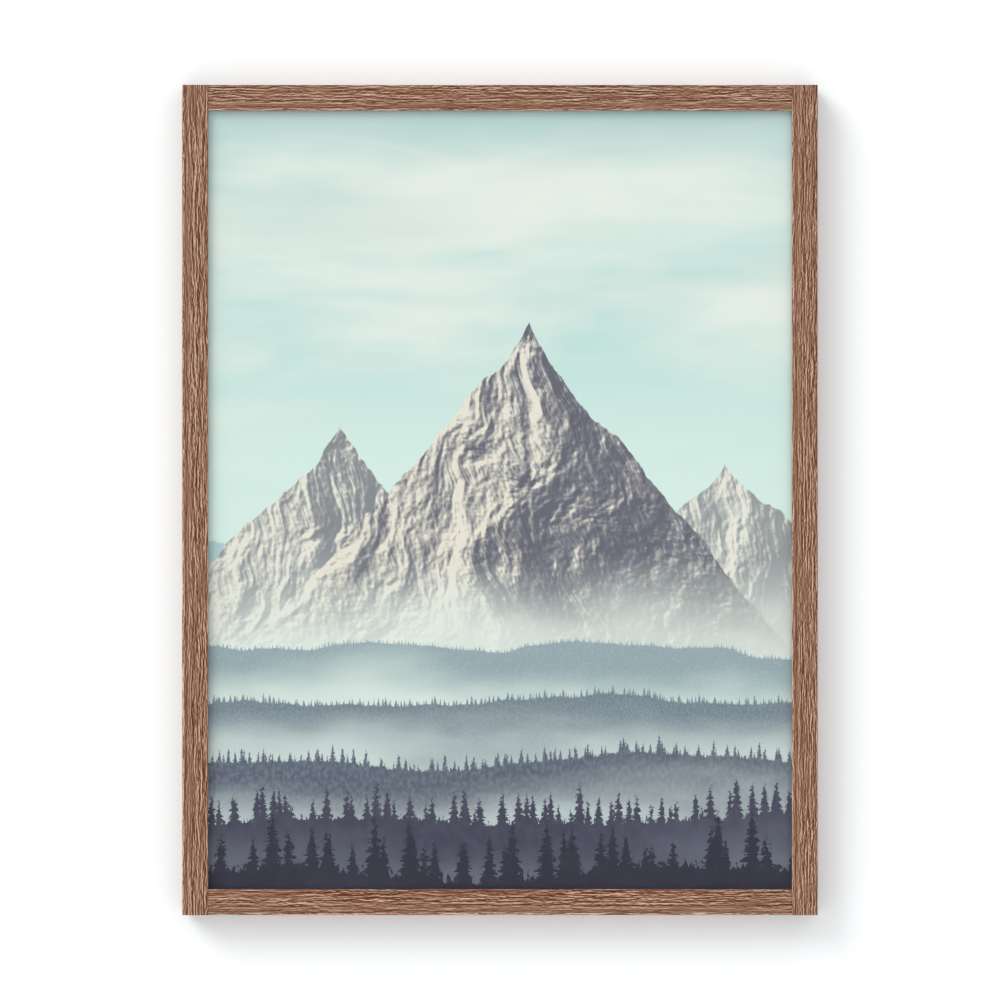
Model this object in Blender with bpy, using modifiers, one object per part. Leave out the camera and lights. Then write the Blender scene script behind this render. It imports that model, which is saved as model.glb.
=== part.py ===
"""A framed print for a wall.

A brown wood frame with butt-jointed corners holds a sheet of picture glass, a paper print and a hardboard
back. Bendable tabs keep the back in, flat steel angles tie the joints, and a sawtooth plate on the top rail
hangs the frame on a nail.

Metres, +Z up. The picture faces -Y and the wall is on the +Y side. The origin is the point where the nail
bears on the sawtooth plate, in the plane of the frame's wooden back.
"""

import math

import bmesh
import bpy
from mathutils import Matrix, Vector

# Frame
PICTURE_WIDTH = 0.450  # what shows of the print, between the sight edges
PICTURE_HEIGHT = 0.600
FACE = 0.020  # a member's width, seen from the front
DEPTH = 0.022  # from the front face to the back
LIP = 0.0025  # thickness of the lip in front of the glass
REBATE = 0.006  # how far the lip reaches over the glass
ARRIS = 0.0005  # chamfer along a member's edges
GAP = 0.0003  # between pieces that touch
OVER = 0.001  # how far a cutter runs past what it cuts

# Sheets in the rebate
SHEET_PLAY = 0.0005  # each edge of a sheet stays this far from the rebate's wall
GLASS = 0.0015
PAPER = 0.0003
BOARD = 0.003

# Retaining tabs, flat spring steel, half driven into the wood
TAB_THICKNESS = 0.0005
TAB_WIDTH = 0.009
TAB_IN = 0.008
TAB_OUT = 0.013
TAB_POINT = 0.004
STILE_TAB_STEP = 0.190
RAIL_TAB_STEP = 0.220

# Corner plates and their screws
PLATE_THICKNESS = 0.0012
PLATE_WIDTH = 0.010
PLATE_LEG = 0.029  # from the corner's centre lines to the round end's centre
PLATE_HOLES = (0.015, 0.027)
SCREW_HEAD_RADIUS = 0.0021
SCREW_RADIUS = 0.0011
SCREW_LENGTH = 0.010
SCREW_POINT = 0.002

# Sawtooth hanger and its nails
WALL = 0.003  # the wall's distance from the wooden back
SAW_LENGTH = 0.044
SAW_FOOT = 0.0075  # each flat end, which lies on the wood
SAW_SLOPE = 0.002
SAW_HEIGHT = 0.010
SAW_THICKNESS = 0.0008
SAW_MARGIN = 0.002  # from the frame's top edge
NOTCH_COUNT = 7
NOTCH_STEP = 0.003
NOTCH_RADIUS = 0.0012  # of the triangle's corners about its centre
NOTCH_DEPTH = 0.0015
NAIL_HEAD_RADIUS = 0.0018
NAIL_HEAD = 0.0006
NAIL_RADIUS = 0.0007
NAIL_LENGTH = 0.009
NAIL_POINT = 0.0015

# Wall bumpers
BUMPER_RADIUS = 0.005
BUMPER_EDGE = 0.0008
BUMPER_RISE = 0.055  # from the frame's bottom edge

# Places that follow from these
WIDTH = PICTURE_WIDTH + 2 * FACE
HEIGHT = PICTURE_HEIGHT + 2 * FACE
BODY = FACE - REBATE  # a member's width behind its lip
SIDE = WIDTH / 2
TOP = SAW_MARGIN + SAW_HEIGHT - NOTCH_DEPTH
MIDDLE = TOP - HEIGHT / 2
BOTTOM = TOP - HEIGHT
FRONT = -DEPTH
LIP_BACK = FRONT + LIP
GLASS_FRONT = LIP_BACK + GAP
PAPER_FRONT = GLASS_FRONT + GLASS + GAP
BOARD_FRONT = PAPER_FRONT + PAPER + GAP
TAB_Y = BOARD_FRONT + BOARD + GAP + TAB_THICKNESS / 2
CORNER_X = SIDE - BODY / 2  # where a corner's two centre lines meet
CORNER_RISE = HEIGHT / 2 - BODY / 2
PLATE_BACK = GAP + PLATE_THICKNESS
ROUND_STEPS = 16
FACING_WALL = (-math.pi / 2, 0, 0)  # turns a piece's own +Z to +Y

for old in list(bpy.data.objects):
    bpy.data.objects.remove(old, do_unlink=True)


def new_collection(name):
    made = bpy.data.collections.new(name)
    bpy.context.scene.collection.children.link(made)
    return made


PARTS = new_collection("framed_print")
CUTTERS = new_collection("cutters")
CUTTERS.hide_render = True
ROOT = bpy.data.objects.new("framed_print_root", None)
PARTS.objects.link(ROOT)


def principled(name, colour, roughness, metallic=0.0, transmission=0.0):
    material = bpy.data.materials.new(name)
    material.use_nodes = True
    shader = material.node_tree.nodes["Principled BSDF"]
    shader.inputs["Base Color"].default_value = (*colour, 1.0)
    shader.inputs["Roughness"].default_value = roughness
    shader.inputs["Metallic"].default_value = metallic
    shader.inputs["Transmission Weight"].default_value = transmission
    return material


WOOD = principled("brown wood", (0.29, 0.16, 0.10), 0.65)
CLEAR = principled("picture glass", (0.95, 0.97, 0.96), 0.02, transmission=1.0)
PRINT = principled("printed paper", (0.55, 0.66, 0.63), 0.8)
HARDBOARD = principled("hardboard", (0.22, 0.12, 0.06), 0.75)
SPRING_STEEL = principled("spring steel", (0.42, 0.43, 0.45), 0.35, metallic=1.0)
ZINC = principled("zinc-plated steel", (0.66, 0.67, 0.68), 0.4, metallic=1.0)
BRASSED = principled("brass-plated steel", (0.72, 0.52, 0.24), 0.35, metallic=1.0)
RUBBER = principled("grey rubber", (0.06, 0.06, 0.065), 0.85)


def part(name, data, material, location=(0, 0, 0), rotation=(0, 0, 0)):
    """A piece of the object, carried by the root."""
    data.materials.append(material)
    made = bpy.data.objects.new(name, data)
    made.location = location
    made.rotation_euler = rotation
    made.parent = ROOT
    PARTS.objects.link(made)
    return made


def mesh_of(name, bm):
    mesh = bpy.data.meshes.new(name)
    bm.to_mesh(mesh)
    bm.free()
    return mesh


def add_box(bm, low, high):
    low, high = Vector(low), Vector(high)
    verts = bmesh.ops.create_cube(bm, size=1.0)["verts"]
    bmesh.ops.scale(bm, vec=high - low, verts=verts)
    bmesh.ops.translate(bm, vec=(low + high) / 2, verts=verts)


def add_cone(bm, x, z, low, high, low_radius, high_radius, segments=ROUND_STEPS, turn=0.0):
    """A round or prismatic solid along Y, from y = low to y = high."""
    place = Matrix.Translation((x, (low + high) / 2, z))
    upright = Matrix.Rotation(-math.pi / 2, 4, "X") @ Matrix.Rotation(turn, 4, "Z")
    bmesh.ops.create_cone(
        bm,
        cap_ends=True,
        segments=segments,
        radius1=low_radius,
        radius2=high_radius,
        depth=high - low,
        matrix=place @ upright,
    )


def cut(target, what, bm):
    """Takes the cutter's solids, given in world coordinates, out of the piece."""
    cutter = bpy.data.objects.new(f"{target.name}_{what}_cutter", mesh_of(what, bm))
    cutter.hide_render = True
    cutter.display_type = "WIRE"
    CUTTERS.objects.link(cutter)
    boolean = target.modifiers.new(what, "BOOLEAN")
    boolean.operation = "DIFFERENCE"
    boolean.object = cutter


def turned(name, profile, material, location, rotation=FACING_WALL):
    """A round piece from its profile, given as (radius, height) from the top of the axis to its foot."""
    bm = bmesh.new()
    points = [bm.verts.new((radius, 0, height)) for radius, height in profile]
    for above, below in zip(points, points[1:]):
        bm.edges.new((above, below))
    made = part(name, mesh_of(name, bm), material, location, rotation)
    screw = made.modifiers.new("turn", "SCREW")
    screw.steps = screw.render_steps = ROUND_STEPS
    screw.use_merge_vertices = True
    screw.merge_threshold = 0.0001
    return made


def arc(centre, radius, start_deg, end_deg, steps=8):
    """Points round part of a circle, both ends included."""
    points = []
    for i in range(steps + 1):
        angle = math.radians(start_deg + (end_deg - start_deg) * i / steps)
        points.append((centre[0] + radius * math.cos(angle), centre[1] + radius * math.sin(angle)))
    return points


def flat_curve(name, outline, thickness):
    """A flat closed outline in its own XY plane, with half the thickness on each side."""
    curve = bpy.data.curves.new(name, "CURVE")
    curve.dimensions = "2D"
    curve.fill_mode = "BOTH"
    curve.extrude = thickness / 2
    spline = curve.splines.new("POLY")
    spline.points.add(len(outline) - 1)
    for point, (x, y) in zip(spline.points, outline):
        point.co = (x, y, 0, 1)
    spline.use_cyclic_u = True
    return curve


def welded_mesh(name, curve):
    """The curve's solid as a closed mesh, which a Boolean can cut."""
    guide = bpy.data.objects.new(name, curve)
    PARTS.objects.link(guide)
    graph = bpy.context.evaluated_depsgraph_get()
    mesh = bpy.data.meshes.new_from_object(guide.evaluated_get(graph))
    bpy.data.objects.remove(guide, do_unlink=True)
    bm = bmesh.new()
    bm.from_mesh(mesh)
    bmesh.ops.remove_doubles(bm, verts=bm.verts, dist=1e-6)
    bmesh.ops.recalc_face_normals(bm, faces=bm.faces)
    bm.to_mesh(mesh)
    bm.free()
    return mesh


def member(name, low, high, eased_ends):
    """A bar with its long arrises taken off, and those of its ends too where they show."""
    low, high = Vector(low), Vector(high)
    centre = (low + high) / 2
    size = high - low
    bm = bmesh.new()
    add_box(bm, low - centre, high - centre)
    edges = [e for e in bm.edges if eased_ends or e.calc_length() > 0.99 * max(size)]
    bmesh.ops.bevel(bm, geom=edges, offset=ARRIS, segments=1, profile=0.5, affect="EDGES", material=-1)
    return part(name, mesh_of(name, bm), WOOD, centre)


# Each tab's member, the point where it enters the wood, and the way it points, towards the picture
TAB_PLACES = []
for member_name, side in (("left_stile", -1), ("right_stile", 1)):
    for row in (1, 0, -1):
        entry = Vector((side * (SIDE - BODY), TAB_Y, MIDDLE + row * STILE_TAB_STEP))
        TAB_PLACES.append((member_name, entry, Vector((-side, 0, 0))))
for member_name, side in (("top_rail", 1), ("bottom_rail", -1)):
    for column in (-1, 1):
        entry = Vector((column * RAIL_TAB_STEP / 2, TAB_Y, MIDDLE + side * (HEIGHT / 2 - BODY)))
        TAB_PLACES.append((member_name, entry, Vector((0, 0, -side))))

# Each corner's name and which way it lies from the middle
CORNERS = {
    "top_left": (-1, 1),
    "top_right": (1, 1),
    "bottom_left": (-1, -1),
    "bottom_right": (1, -1),
}


def screw_places(across, up):
    """The member and the place of each of a corner plate's screws, first the stile's and then the rail's."""
    corner_x, corner_z = across * CORNER_X, MIDDLE + up * CORNER_RISE
    stile = "left_stile" if across < 0 else "right_stile"
    rail = "bottom_rail" if up < 0 else "top_rail"
    for distance in PLATE_HOLES:
        yield stile, corner_x, corner_z - up * distance
    for distance in PLATE_HOLES:
        yield rail, corner_x - across * distance, corner_z


NAIL_PLACES = {"left": -(SAW_LENGTH - SAW_FOOT) / 2, "right": (SAW_LENGTH - SAW_FOOT) / 2}
SAW_MIDDLE = TOP - SAW_MARGIN - SAW_HEIGHT / 2


def cut_fixings(target):
    """The tabs' slots and the screws' and nails' holes in one member."""
    bm = bmesh.new()
    for member_name, entry, inward in TAB_PLACES:
        if member_name != target.name:
            continue
        across = Vector((abs(inward.z), 0, abs(inward.x))) * (TAB_WIDTH / 2 + GAP)
        through = Vector((0, TAB_THICKNESS / 2 + GAP, 0))
        ends = (entry + inward * OVER, entry - inward * (TAB_IN + GAP))
        low = Vector(map(min, *ends)) - across - through
        high = Vector(map(max, *ends)) + across + through
        add_box(bm, low, high)
    for across, up in CORNERS.values():
        for member_name, x, z in screw_places(across, up):
            if member_name == target.name:
                foot = PLATE_BACK - SCREW_LENGTH - GAP
                add_cone(bm, x, z, foot, OVER, SCREW_RADIUS + GAP, SCREW_RADIUS + GAP)
    if target.name == "top_rail":
        for x in NAIL_PLACES.values():
            add_cone(bm, x, SAW_MIDDLE, -NAIL_LENGTH, OVER, NAIL_RADIUS + GAP, NAIL_RADIUS + GAP)
    cut(target, "fixings", bm)


# Stiles: full-height bars, rebated along the back of their inner edge
for name, side in (("left_stile", -1), ("right_stile", 1)):
    outer, inner = side * SIDE, side * (SIDE - FACE)
    stile = member(
        name,
        (min(outer, inner), FRONT, BOTTOM),
        (max(outer, inner), 0, TOP),
        eased_ends=True,
    )
    wall, clear = side * (SIDE - BODY), side * (SIDE - FACE - OVER)
    rebate = bmesh.new()
    add_box(
        rebate,
        (min(wall, clear), LIP_BACK, BOTTOM - OVER),
        (max(wall, clear), OVER, TOP + OVER),
    )
    cut(stile, "rebate", rebate)
    cut_fixings(stile)

# Rails: rebated too, with their lips cut back at the ends to butt against the stiles' sight edges, so that
# the wood behind the lip runs on into the stiles' rebates
for name, side in (("top_rail", 1), ("bottom_rail", -1)):
    outer, inner = MIDDLE + side * HEIGHT / 2, MIDDLE + side * (HEIGHT / 2 - FACE)
    reach = SIDE - BODY - GAP
    rail = member(
        name,
        (-reach, FRONT, min(outer, inner)),
        (reach, 0, max(outer, inner)),
        eased_ends=False,
    )
    wall, clear = outer - side * BODY, inner - side * OVER
    rebate = bmesh.new()
    add_box(
        rebate,
        (-SIDE, LIP_BACK, min(wall, clear)),
        (SIDE, OVER, max(wall, clear)),
    )
    cut(rail, "rebate", rebate)
    cope = bmesh.new()
    for end in (-1, 1):
        butt, past = end * (SIDE - FACE - GAP), end * SIDE
        add_box(
            cope,
            (min(butt, past), FRONT - OVER, min(outer, inner) - OVER),
            (max(butt, past), LIP_BACK + GAP, max(outer, inner) + OVER),
        )
    cut(rail, "cope", cope)
    cut_fixings(rail)

# Sheets: glass, print and hardboard, from the lip backwards
for name, front, thickness, material in (
    ("picture_glass", GLASS_FRONT, GLASS, CLEAR),
    ("print_sheet", PAPER_FRONT, PAPER, PRINT),
    ("backing_board", BOARD_FRONT, BOARD, HARDBOARD),
):
    half_width = SIDE - BODY - SHEET_PLAY
    half_height = HEIGHT / 2 - BODY - SHEET_PLAY
    sheet = bmesh.new()
    add_box(
        sheet,
        (-half_width, -thickness / 2, -half_height),
        (half_width, thickness / 2, half_height),
    )
    part(name, mesh_of(name, sheet), material, (0, front + thickness / 2, MIDDLE))

# Retaining tabs: pointed where they are driven in, round where they lie on the board
half = TAB_WIDTH / 2
tab_outline = [(-TAB_IN, 0), (TAB_POINT - TAB_IN, -half)]
tab_outline += arc((TAB_OUT - half, 0), half, -90, 90)
tab_outline += [(TAB_POINT - TAB_IN, half)]
for number, (_, entry, inward) in enumerate(TAB_PLACES, start=1):
    to_wall = Vector((0, 1, 0))
    turn = Matrix((inward, to_wall.cross(inward), to_wall)).transposed()
    name = f"retaining_tab_{number}"
    part(name, flat_curve(name, tab_outline, TAB_THICKNESS), SPRING_STEEL, entry, turn.to_euler())

# Corner plates: flat angles with round ends and countersunk holes, and their screws
screw_profile = [
    (0, 0),
    (SCREW_HEAD_RADIUS, 0),
    (SCREW_RADIUS, -PLATE_THICKNESS),
    (SCREW_RADIUS, SCREW_POINT - SCREW_LENGTH),
    (0, -SCREW_LENGTH),
]
for corner, (across, up) in CORNERS.items():
    half = PLATE_WIDTH / 2
    outline = arc((0, 0), half, 180, 270)
    outline += arc((PLATE_LEG, 0), half, -90, 90)
    outline += [(half, half)]
    outline += arc((0, PLATE_LEG), half, 0, 180)
    outline = [(-across * x, -up * y) for x, y in outline]
    name = f"corner_plate_{corner}"
    plate = part(
        name,
        welded_mesh(name, flat_curve(name, outline, PLATE_THICKNESS)),
        ZINC,
        (across * CORNER_X, GAP + PLATE_THICKNESS / 2, MIDDLE + up * CORNER_RISE),
        (math.pi / 2, 0, 0),
    )
    slope = (SCREW_HEAD_RADIUS - SCREW_RADIUS) / PLATE_THICKNESS
    holes = bmesh.new()
    for number, (_, x, z) in enumerate(screw_places(across, up), start=1):
        narrow = SCREW_RADIUS + GAP - slope * GAP
        wide = SCREW_HEAD_RADIUS + GAP + slope * GAP
        add_cone(holes, x, z, 0, PLATE_BACK + GAP, narrow, wide)
        turned(f"corner_screw_{corner}_{number}", screw_profile, ZINC, (x, PLATE_BACK, z))
    cut(plate, "countersinks", holes)

# Sawtooth plate: a strip with flat feet and a raised middle, notched along its lower edge
foot_y = GAP + SAW_THICKNESS / 2
raised_y = WALL - SAW_THICKNESS / 2
foot_end = SAW_LENGTH / 2
foot_root = foot_end - SAW_FOOT
raised_end = foot_root - SAW_SLOPE
path = [(-foot_end, foot_y), (-foot_root, foot_y), (-raised_end, raised_y)]
path += [(-x, y) for x, y in reversed(path)]
strip = bmesh.new()
low_edge = [strip.verts.new((x, y, TOP - SAW_MARGIN - SAW_HEIGHT)) for x, y in path]
for a, b in zip(low_edge, low_edge[1:]):
    strip.edges.new((a, b))
raised = bmesh.ops.extrude_edge_only(strip, edges=strip.edges[:])["geom"]
new_verts = [item for item in raised if isinstance(item, bmesh.types.BMVert)]
bmesh.ops.translate(strip, vec=(0, 0, SAW_HEIGHT), verts=new_verts)
hanger = part("hanger_plate", mesh_of("hanger_plate", strip), BRASSED)
shell = hanger.modifiers.new("thickness", "SOLIDIFY")
shell.thickness = SAW_THICKNESS
shell.offset = 0
shell.use_even_offset = True
notches = bmesh.new()
for i in range(NOTCH_COUNT):
    x = (i - (NOTCH_COUNT - 1) / 2) * NOTCH_STEP
    add_cone(notches, x, -NOTCH_RADIUS, GAP, WALL + OVER, NOTCH_RADIUS, NOTCH_RADIUS, 3, math.pi)
cut(hanger, "notches", notches)
nail_holes = bmesh.new()
for x in NAIL_PLACES.values():
    add_cone(nail_holes, x, SAW_MIDDLE, -GAP, WALL, NAIL_RADIUS + GAP, NAIL_RADIUS + GAP)
cut(hanger, "nail_holes", nail_holes)

# Hanger nails: flat heads on the strip's feet
head_top = GAP + SAW_THICKNESS + GAP + NAIL_HEAD
nail_profile = [
    (0, 0),
    (NAIL_HEAD_RADIUS, 0),
    (NAIL_HEAD_RADIUS, -NAIL_HEAD),
    (NAIL_RADIUS, -NAIL_HEAD),
    (NAIL_RADIUS, NAIL_POINT - NAIL_LENGTH),
    (0, -NAIL_LENGTH),
]
for side, x in NAIL_PLACES.items():
    turned(f"hanger_nail_{side}", nail_profile, BRASSED, (x, head_top, SAW_MIDDLE))

# Bumpers: domed rubber discs, as thick as the hanger stands proud
bumper_profile = [
    (0, 0),
    (BUMPER_RADIUS - BUMPER_EDGE, 0),
    (BUMPER_RADIUS, -BUMPER_EDGE),
    (BUMPER_RADIUS, GAP - WALL),
    (0, GAP - WALL),
]
for side_name, side in (("left", -1), ("right", 1)):
    place = (side * CORNER_X, WALL, BOTTOM + BUMPER_RISE)
    turned(f"bumper_{side_name}", bumper_profile, RUBBER, place)
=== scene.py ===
"""The looks of a framed print: its wood, glass, paper, hardboard and fittings, in a plain studio.

Metres, +Z up. The picture faces -Y and hangs on a wall on the +Y side.
"""

import math

import bmesh
import bpy
from mathutils import Matrix, Vector, noise


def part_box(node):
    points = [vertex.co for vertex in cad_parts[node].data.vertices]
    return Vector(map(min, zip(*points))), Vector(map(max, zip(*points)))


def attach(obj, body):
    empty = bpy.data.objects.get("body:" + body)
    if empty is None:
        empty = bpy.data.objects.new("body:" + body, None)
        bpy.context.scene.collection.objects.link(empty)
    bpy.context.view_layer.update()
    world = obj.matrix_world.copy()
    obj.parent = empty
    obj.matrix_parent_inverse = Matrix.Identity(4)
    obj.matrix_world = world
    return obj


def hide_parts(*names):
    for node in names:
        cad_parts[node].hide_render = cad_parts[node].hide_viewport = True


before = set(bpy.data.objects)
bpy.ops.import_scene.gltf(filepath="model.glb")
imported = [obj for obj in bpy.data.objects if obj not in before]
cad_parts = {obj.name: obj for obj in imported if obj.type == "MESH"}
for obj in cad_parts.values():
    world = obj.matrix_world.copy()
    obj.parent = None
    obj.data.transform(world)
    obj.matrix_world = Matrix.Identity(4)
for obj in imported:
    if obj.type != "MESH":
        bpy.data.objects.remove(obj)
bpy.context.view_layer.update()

# Stiles and rails: bars of brown-stained open-grained wood, brushed along the grain so that its pores stand
# open. The stiles run the frame's full height, and the rails butt against them. Each bar is rebated behind
# its sight edge and eased along its arrises, and the back is planed smooth.
FACE = 0.020  # a bar's width, seen from the front
LIP = 0.0025  # thickness of the lip in front of the glass
REBATE = 0.006  # how far the lip reaches over the glass
ARRIS = 0.0005
JOINT_GAP = 0.00012  # between a rail's end and the stile that it butts against
TONGUE_GAP = 0.0003  # between a rail's tongue and the stile's lip
GRAIN_ACROSS = 0.0004  # spacing of the mesh that carries the brushed grain
GRAIN_ALONG = 0.0016
GRAIN_DEPTH = 0.00016
GRAIN_FADE = 0.001  # how far from the planed back the grain dies out
FLANK = 0.0003  # half a flank's width, from a pore's floor to the grain beside it
# Long lines along the bar: how far from the highlit arris, how wide, and how pale. The first is a painted
# highlight along that arris; the others are lines that the cutter and the sander left.
LONG_LINES = (
    (0.0008, 0.0008, 0.23),
    (0.0028, 0.0008, -0.10),
    (0.0056, 0.0008, 0.14),
    (0.0078, 0.0006, -0.10),
    (0.0142, 0.0005, -0.03),
    (0.0177, 0.0007, -0.06),
)
SMOOTHED = (0.0014, 0.0074)  # the strip beside that arris where the sander took the grain down
SMOOTHED_ENDS = (0.0006, 0.0012)  # how wide the strip's two borders are
SMOOTHED_SHARE = 0.36
STAIN = ((86, 49, 31), (117, 79, 58), (142, 104, 82), (168, 131, 109), (216, 184, 164))
STAIN_STOPS = (0.0, 0.28, 0.5, 0.72, 1.0)
WARMER = (1.02, 0.97, 0.96, 1)  # tints of the stain, in patches along the grain
COOLER = (1.0, 1.0, 0.96, 1)
LIGHT_LEVEL = 1.26  # what a pure white card reads in this light

stile_low, stile_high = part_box("left_stile")
rail_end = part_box("top_rail")[1].x
BACK = stile_high.y
FRONT = stile_low.y
DEPTH = BACK - FRONT
SIDE = -stile_low.x
TOP = stile_high.z
BOTTOM = stile_low.z
MIDDLE = (TOP + BOTTOM) / 2
SIGHT_X = SIDE - FACE
SIGHT_Z = (TOP - BOTTOM) / 2 - FACE


def seen(red, green, blue, level=LIGHT_LEVEL):
    """The paint that reads as this display colour in the studio's light."""
    parts = [((c / 255 + 0.055) / 1.055) ** 2.4 / level for c in (red, green, blue)]
    return (*parts, 1.0)


class Recipe:
    """One finish's nodes. Each method adds a node and gives back its output."""

    def __init__(self, tree):
        self.tree = tree

    def feed(self, socket, value):
        if isinstance(value, bpy.types.NodeSocket):
            self.tree.links.new(value, socket)
        else:
            socket.default_value = value

    def add(self, kind, inputs=(), output=0, **settings):
        node = self.tree.nodes.new(f"ShaderNode{kind}")
        for setting, value in settings.items():
            setattr(node, setting, value)
        for socket, value in dict(inputs).items():
            self.feed(node.inputs[socket], value)
        return node.outputs[output]

    def maths(self, operation, *values):
        return self.add("Math", enumerate(values), operation=operation)

    def span(self, value, low, high, to_low=0.0, to_high=1.0):
        values = (value, low, high, to_low, to_high)
        return self.add("MapRange", enumerate(values), interpolation_type="SMOOTHSTEP")

    def mix(self, share, first, second, mode="MIX"):
        sockets = {0: share, 6: first, 7: second}
        return self.add("Mix", sockets, output=2, data_type="RGBA", blend_type=mode)

    def point(self, x, y, z=0.0):
        return self.add("CombineXYZ", enumerate((x, y, z)))

    def stretch(self, vector, x, y, z):
        return self.add("VectorMath", {0: vector, 1: (x, y, z)}, operation="MULTIPLY")

    def noise(self, vector, detail=2.0, roughness=0.5, distortion=0.0):
        sockets = {"Vector": vector, "Scale": 1.0, "Detail": detail, "Roughness": roughness}
        return self.add("TexNoise", {**sockets, "Distortion": distortion})

    def gradient(self, value, stops, colours):
        node = self.tree.nodes.new("ShaderNodeValToRGB")
        band = node.color_ramp
        while len(band.elements) < len(stops):
            band.elements.new(0.5)
        for element, stop, colour in zip(band.elements, stops, colours):
            element.position = stop
            element.color = colour
        self.feed(node.inputs[0], value)
        return node.outputs[0]

    def coordinates(self):
        return self.add("TexCoord", output="Object")

    def bump(self, height, distance, strength=1.0):
        sockets = {"Height": height, "Distance": distance, "Strength": strength}
        return self.add("Bump", sockets)


def finish(start, colour, roughness, normal=None, **plain):
    """A material whose recipe is already under way gets its shader; plain values are set on the shader."""
    material, recipe = start
    shader = recipe.tree.nodes.new("ShaderNodeBsdfPrincipled")
    recipe.feed(shader.inputs["Base Color"], colour)
    recipe.feed(shader.inputs["Roughness"], roughness)
    if normal is not None:
        recipe.feed(shader.inputs["Normal"], normal)
    for socket, value in plain.items():
        shader.inputs[socket.replace("_", " ")].default_value = value
    out = recipe.tree.nodes.new("ShaderNodeOutputMaterial")
    recipe.feed(out.inputs["Surface"], shader.outputs[0])
    return material


def new_finish(name):
    material = bpy.data.materials.new(name)
    material.use_nodes = True
    material.node_tree.nodes.clear()
    return material, Recipe(material.node_tree)


def new_effect(name, inputs, outputs):
    """A shared effect: its group, its recipe, its input sockets and its output node."""
    group = bpy.data.node_groups.new(name, "ShaderNodeTree")
    for socket, kind in inputs:
        group.interface.new_socket(socket, in_out="INPUT", socket_type=f"NodeSocket{kind}")
    for socket, kind in outputs:
        group.interface.new_socket(socket, in_out="OUTPUT", socket_type=f"NodeSocket{kind}")
    entry = group.nodes.new("NodeGroupInput")
    result = group.nodes.new("NodeGroupOutput")
    return group, Recipe(group), entry.outputs, result.inputs


def use_effect(recipe, group, **values):
    node = recipe.tree.nodes.new("ShaderNodeGroup")
    node.node_tree = group
    for socket, value in values.items():
        recipe.feed(node.inputs[socket], value)
    return node.outputs


# The wood's figure, in features per metre across the grain twice and then along it.
SWAYS = (60, 60, 18)
HAIRS = (1500, 1500, 60)
DASHES = (900, 900, 130)
BANDS = (110, 110, 5)
PATCHES = (130, 130, 14)
PLANED = (300, 300, 5)
SWAY_WIDTH = 0.0012
HAIR_HEIGHT = 0.00006
HAIR_TONE, BAND_TONE, PORE_TONE = 0.34, 0.16, -0.12  # what each adds to the wood's tone
PORE_HEIGHT = -0.6  # beside the hairs' height

figure_group, r, given, result = new_effect(
    "wood figure",
    (("Place", "Vector"), ("Grain", "Float")),
    (("Tone", "Float"), ("Hue", "Float"), ("Height", "Float")),
)
place = given["Place"]
wander = r.noise(r.stretch(place, *SWAYS), 2.0)
sway = r.stretch(r.point(wander, wander), SWAY_WIDTH, SWAY_WIDTH, 0)
swayed = r.add("VectorMath", {0: place, 1: sway}, operation="ADD")
hairs = r.noise(r.stretch(swayed, *HAIRS), 3.0, 0.6)
dashes = r.noise(r.stretch(swayed, *DASHES), 2.0, 0.5)
bands = r.noise(r.stretch(swayed, *BANDS), 3.0, 0.5)
pores = r.span(dashes, 0.60, 0.74)
tone = r.maths("MULTIPLY_ADD", r.maths("SUBTRACT", hairs, 0.5), HAIR_TONE, given["Grain"])
tone = r.maths("MULTIPLY_ADD", r.maths("SUBTRACT", bands, 0.5), BAND_TONE, tone)
r.feed(result["Tone"], r.maths("MULTIPLY_ADD", pores, PORE_TONE, tone))
r.feed(result["Hue"], r.noise(r.stretch(swayed, *PATCHES), 2.0))
r.feed(result["Height"], r.maths("MULTIPLY_ADD", pores, PORE_HEIGHT, hairs))


def stained_wood(name, turn, brushed=True, stains=STAIN, rough=0.62):
    """Wood whose grain runs along Z, once turned by these angles; planed wood has no brushed grain."""
    start = new_finish(name)
    _, r = start
    place = r.add("Mapping", {"Vector": r.coordinates(), "Rotation": turn})
    if brushed:
        # The brushed bars' grain attribute carries painted highlight and painted shade beside the grain's own
        # tone.
        grain = r.add("Attribute", output="Fac", attribute_name="grain")
    else:
        grain = r.span(r.noise(r.stretch(place, *PLANED), 3.0, 0.6), 0.32, 0.68, 0.24, 0.76)
    figure = use_effect(r, figure_group, Place=place, Grain=grain)
    tone = figure["Tone"]
    colour = r.gradient(tone, STAIN_STOPS, [seen(*stain) for stain in stains])
    colour = r.mix(r.span(figure["Hue"], 0.45, 0.68), colour, WARMER, "MULTIPLY")
    colour = r.mix(r.span(figure["Hue"], 0.52, 0.30), colour, COOLER, "MULTIPLY")
    roughness = r.span(tone, 0.1, 0.9, rough + 0.12, rough - 0.10)
    normal = r.bump(figure["Height"], HAIR_HEIGHT, 0.7)
    return finish(start, colour, roughness, normal, Specular_IOR_Level=0.12)


PITH = (0.262, 0.045, 0)  # the tree's heart lies outside the bar
RING_TURNS = 4200  # radians a metre
RING_SWAYS = (160, 160, 1)
RING_TONE = 0.13
END_PORES = (2600, 2600, 1)
END_PORE_TONE = -0.25
END_PORE_DEPTH = 0.00012


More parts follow.
